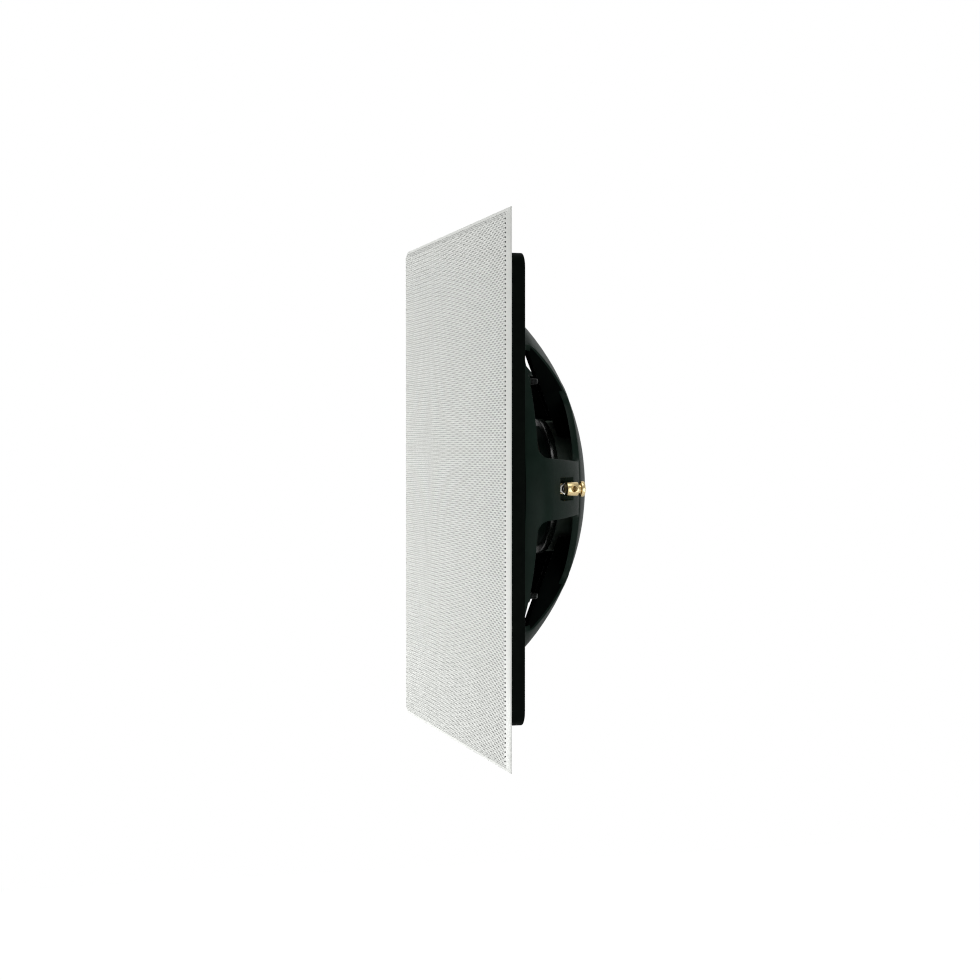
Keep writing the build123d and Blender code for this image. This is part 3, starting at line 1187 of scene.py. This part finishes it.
edit(surround)
face_outwards()
apply_modifier(surround, "SOLIDIFY", thickness=rubber_wall, offset=0)
smooth(surround, degrees=50)
dress(surround, "surround_roll", surround_rubber)
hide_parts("surround")
blend_by_radius(surround, roll_middle + roll_outside, roll_middle - roll_outside)
print("surround faces", len(surround.data.polygons))

# %% [markdown]
# ## Spider
# The spider is a ring of cloth pressed into waves, and it keeps the coil in the middle of its gap.
# It could be spun like the surround. Here each wave is one more ring extruded and scaled outwards,
# in front of or behind the last, and a subdivision rounds the folds.

# %% Rings of the spider
spider_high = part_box("spider")[1]
former_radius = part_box("voice_coil_former")[1].x
spider_hem = 1.6 * mm
seat_width = 5.0 * mm
half_waves = 8
wave_height = 1.6 * mm
cloth_inset = 0.4 * mm  # from the solid's back to the middle of the flat cloth
flat_depth = spider_high.y - cloth_inset

wave_start = former_radius + spider_hem
wave_end = spider_high.x - seat_width
wave_step = (wave_end - wave_start) / half_waves
rings = []
for i in range(half_waves + 1):
    rings.append((wave_start + i * wave_step, flat_depth - (wave_height if i % 2 else 0)))
rings.append((spider_high.x, flat_depth))
print("spider rings", len(rings), "from", wave_start, "to", wave_end)

# %% Spider
cloth_wall = 0.6 * mm
bpy.ops.mesh.primitive_circle_add(
    vertices=turn_steps,
    radius=former_radius,
    fill_type="NOTHING",
    location=(0, flat_depth, 0),
    rotation=(quarter_turn, 0, 0),
)
spider = settle(bpy.context.object)
edit(spider)
bpy.ops.mesh.select_mode(type="EDGE")
radius, depth = former_radius, flat_depth
for next_radius, next_depth in rings:
    draw_ring(radius, next_radius, next_depth - depth)
    radius, depth = next_radius, next_depth
face_outwards()
apply_modifier(spider, "SUBSURF", levels=1, render_levels=1)
apply_modifier(spider, "SOLIDIFY", thickness=cloth_wall, offset=0)
smooth(spider, degrees=60)
dress(spider, "spider_cloth_ring", spider_cloth)
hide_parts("spider")
blend_by_radius(spider, wave_end, wave_start)
print("spider faces", len(spider.data.polygons))

# %% [markdown]
# ## Tinsel leads
# Two braided leads carry the current from the terminal bolts to the moving cone. A lead could be
# extruded step by step, but a curve with a round bevel is swept along its route in one go: straight
# from the bolt's head, then one easy arc down to the back of the cone.

# %% Route of a lead
lead_radius = 1.1 * mm
lead_straight = 3.0 * mm
lead_end_inset = 0.3 * mm
arc_steps = 12


def lead_route(pole):
    low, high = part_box(f"tinsel_lead_{pole}")
    sign = 1 if high.x > 0 else -1
    start = max(abs(low.x), abs(high.x))
    end = min(abs(low.x), abs(high.x)) + lead_end_inset
    back = high.y - lead_radius
    front = low.y + lead_radius
    reach = start - lead_straight - end
    fall = back - front
    bend = (reach**2 + fall**2) / (2 * fall)
    sweep = math.asin(reach / bend)
    points = [(sign * start, back, 0)]
    for i in range(arc_steps + 1):
        turn = sweep * i / arc_steps
        along = start - lead_straight - bend * math.sin(turn)
        points.append((sign * along, back - bend * (1 - math.cos(turn)), 0))
    return points


print("lead points", len(lead_route("positive")))

# %% Leads
for pole in poles:
    route = lead_route(pole)
    path = bpy.data.curves.new(f"lead_path_{pole}", "CURVE")
    path.dimensions = "3D"
    path.bevel_depth = lead_radius
    path.bevel_resolution = 4
    path.use_fill_caps = True
    spline = path.splines.new("POLY")
    spline.points.add(len(route) - 1)
    for point, place in zip(spline.points, route):
        point.co = (*place, 1)
    lead = bpy.data.objects.new(f"lead_{pole}", path)
    bpy.context.collection.objects.link(lead)
    take(lead)
    bpy.ops.object.convert(target="MESH")
    lead = bpy.context.object
    smooth(lead, degrees=60)
    dress(lead, f"tinsel_braid_{pole}", tinsel_braid)
    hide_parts(f"tinsel_lead_{pole}")
    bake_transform(lead)
    print(lead.name, "faces", len(lead.data.polygons))

# %% [markdown]
# ## Driver screws
# Six screws hold the basket to the frame, and their tips stand out behind the rail. The thread
# could be a bump, but tips seen against white need a real outline, so a screw modifier turns one
# three-cornered profile into the thread. One screw is made once, with its cross recess cut by two
# bars, and copied to the six places that the solid model gives.

# %% Head of a screw
screws_low, screws_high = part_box("driver_screws")
plate_front = 12.5 * mm
head_radius = 4.2 * mm
head_sides = 32
head_rounding = 0.9 * mm
recess_size = (4.6 * mm, 3.2 * mm, 0.9 * mm)
head_height = plate_front - screws_low.y

bpy.ops.mesh.primitive_cylinder_add(
    vertices=head_sides,
    radius=head_radius,
    depth=head_height,
    location=(0, plate_front - head_height / 2, 0),
    rotation=(quarter_turn, 0, 0),
)
screw = settle(bpy.context.object)
select_where(screw, lambda point: point.y < plate_front - head_height / 2)
bpy.ops.mesh.bevel(offset=head_rounding, segments=3, affect="EDGES")
let_go()
for turn in (0, quarter_turn):
    bpy.ops.mesh.primitive_cube_add(
        size=1, location=(0, plate_front - head_height, 0), rotation=(0, turn, 0)
    )
    bar = bpy.context.object
    bar.scale = recess_size
    settle(bar)
    apply_modifier(screw, "BOOLEAN", object=bar, operation="DIFFERENCE", solver="EXACT")
    delete(bar)
print("screw head faces", len(screw.data.polygons))

# %% Thread
thread_radius = 2.2 * mm
core_radius = 1.8 * mm
thread_pitch = 0.9 * mm
thread_steps = 16
point_length = 1.2 * mm
shank_length = screws_high.y - plate_front
thread_turns = int((shank_length - point_length) / thread_pitch)
thread_start = plate_front + shank_length - point_length - thread_turns * thread_pitch

profile = bpy.data.meshes.new("thread_profile")
corners = [
    (core_radius, thread_start, 0),
    (thread_radius, thread_start + thread_pitch / 2, 0),
    (core_radius, thread_start + thread_pitch, 0),
]
profile.from_pydata(corners, [(0, 1), (1, 2)], [])
thread = bpy.data.objects.new("thread", profile)
bpy.context.collection.objects.link(thread)
apply_modifier(
    thread,
    "SCREW",
    axis="Y",
    angle=math.radians(360),
    screw_offset=thread_pitch,
    iterations=thread_turns,
    steps=thread_steps,
    render_steps=thread_steps,
    use_merge_vertices=True,
)
print("thread turns", thread_turns)

# %% Core and point
head_overlap = 0.2 * mm
thread_overlap = 0.02 * mm
point_rounding = 0.5 * mm
core_start = plate_front - head_overlap
core_end = plate_front + shank_length

bpy.ops.mesh.primitive_cylinder_add(
    vertices=thread_steps,
    radius=core_radius + thread_overlap,
    depth=core_end - core_start,
    location=(0, (core_start + core_end) / 2, 0),
    rotation=(quarter_turn, 0, 0),
)
core = settle(bpy.context.object)
select_where(core, lambda point: point.y > core_end - point_rounding)
bpy.ops.mesh.bevel(offset=point_rounding, segments=1, affect="EDGES")
let_go()
screw = join([screw, thread, core])
print("one screw faces", len(screw.data.polygons))

# %% All six screws
screw_circle = 120.5 * mm
screw_angles = [side * angle for angle in (37, 90, 143) for side in (1, -1)]
copies = []
for angle in screw_angles:
    copy = duplicate(screw)
    turn = math.radians(angle)
    copy.location = (screw_circle * math.cos(turn), 0, screw_circle * math.sin(turn))
    copy.rotation_euler = (0, turn, 0)
    copies.append(settle(copy))
delete(screw)
screws = join(copies)
smooth(screws, degrees=30)
dress(screws, "driver_thread_screws", black_zinc)
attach(screws, "housing")
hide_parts("driver_screws")
print("screws faces", len(screws.data.polygons))
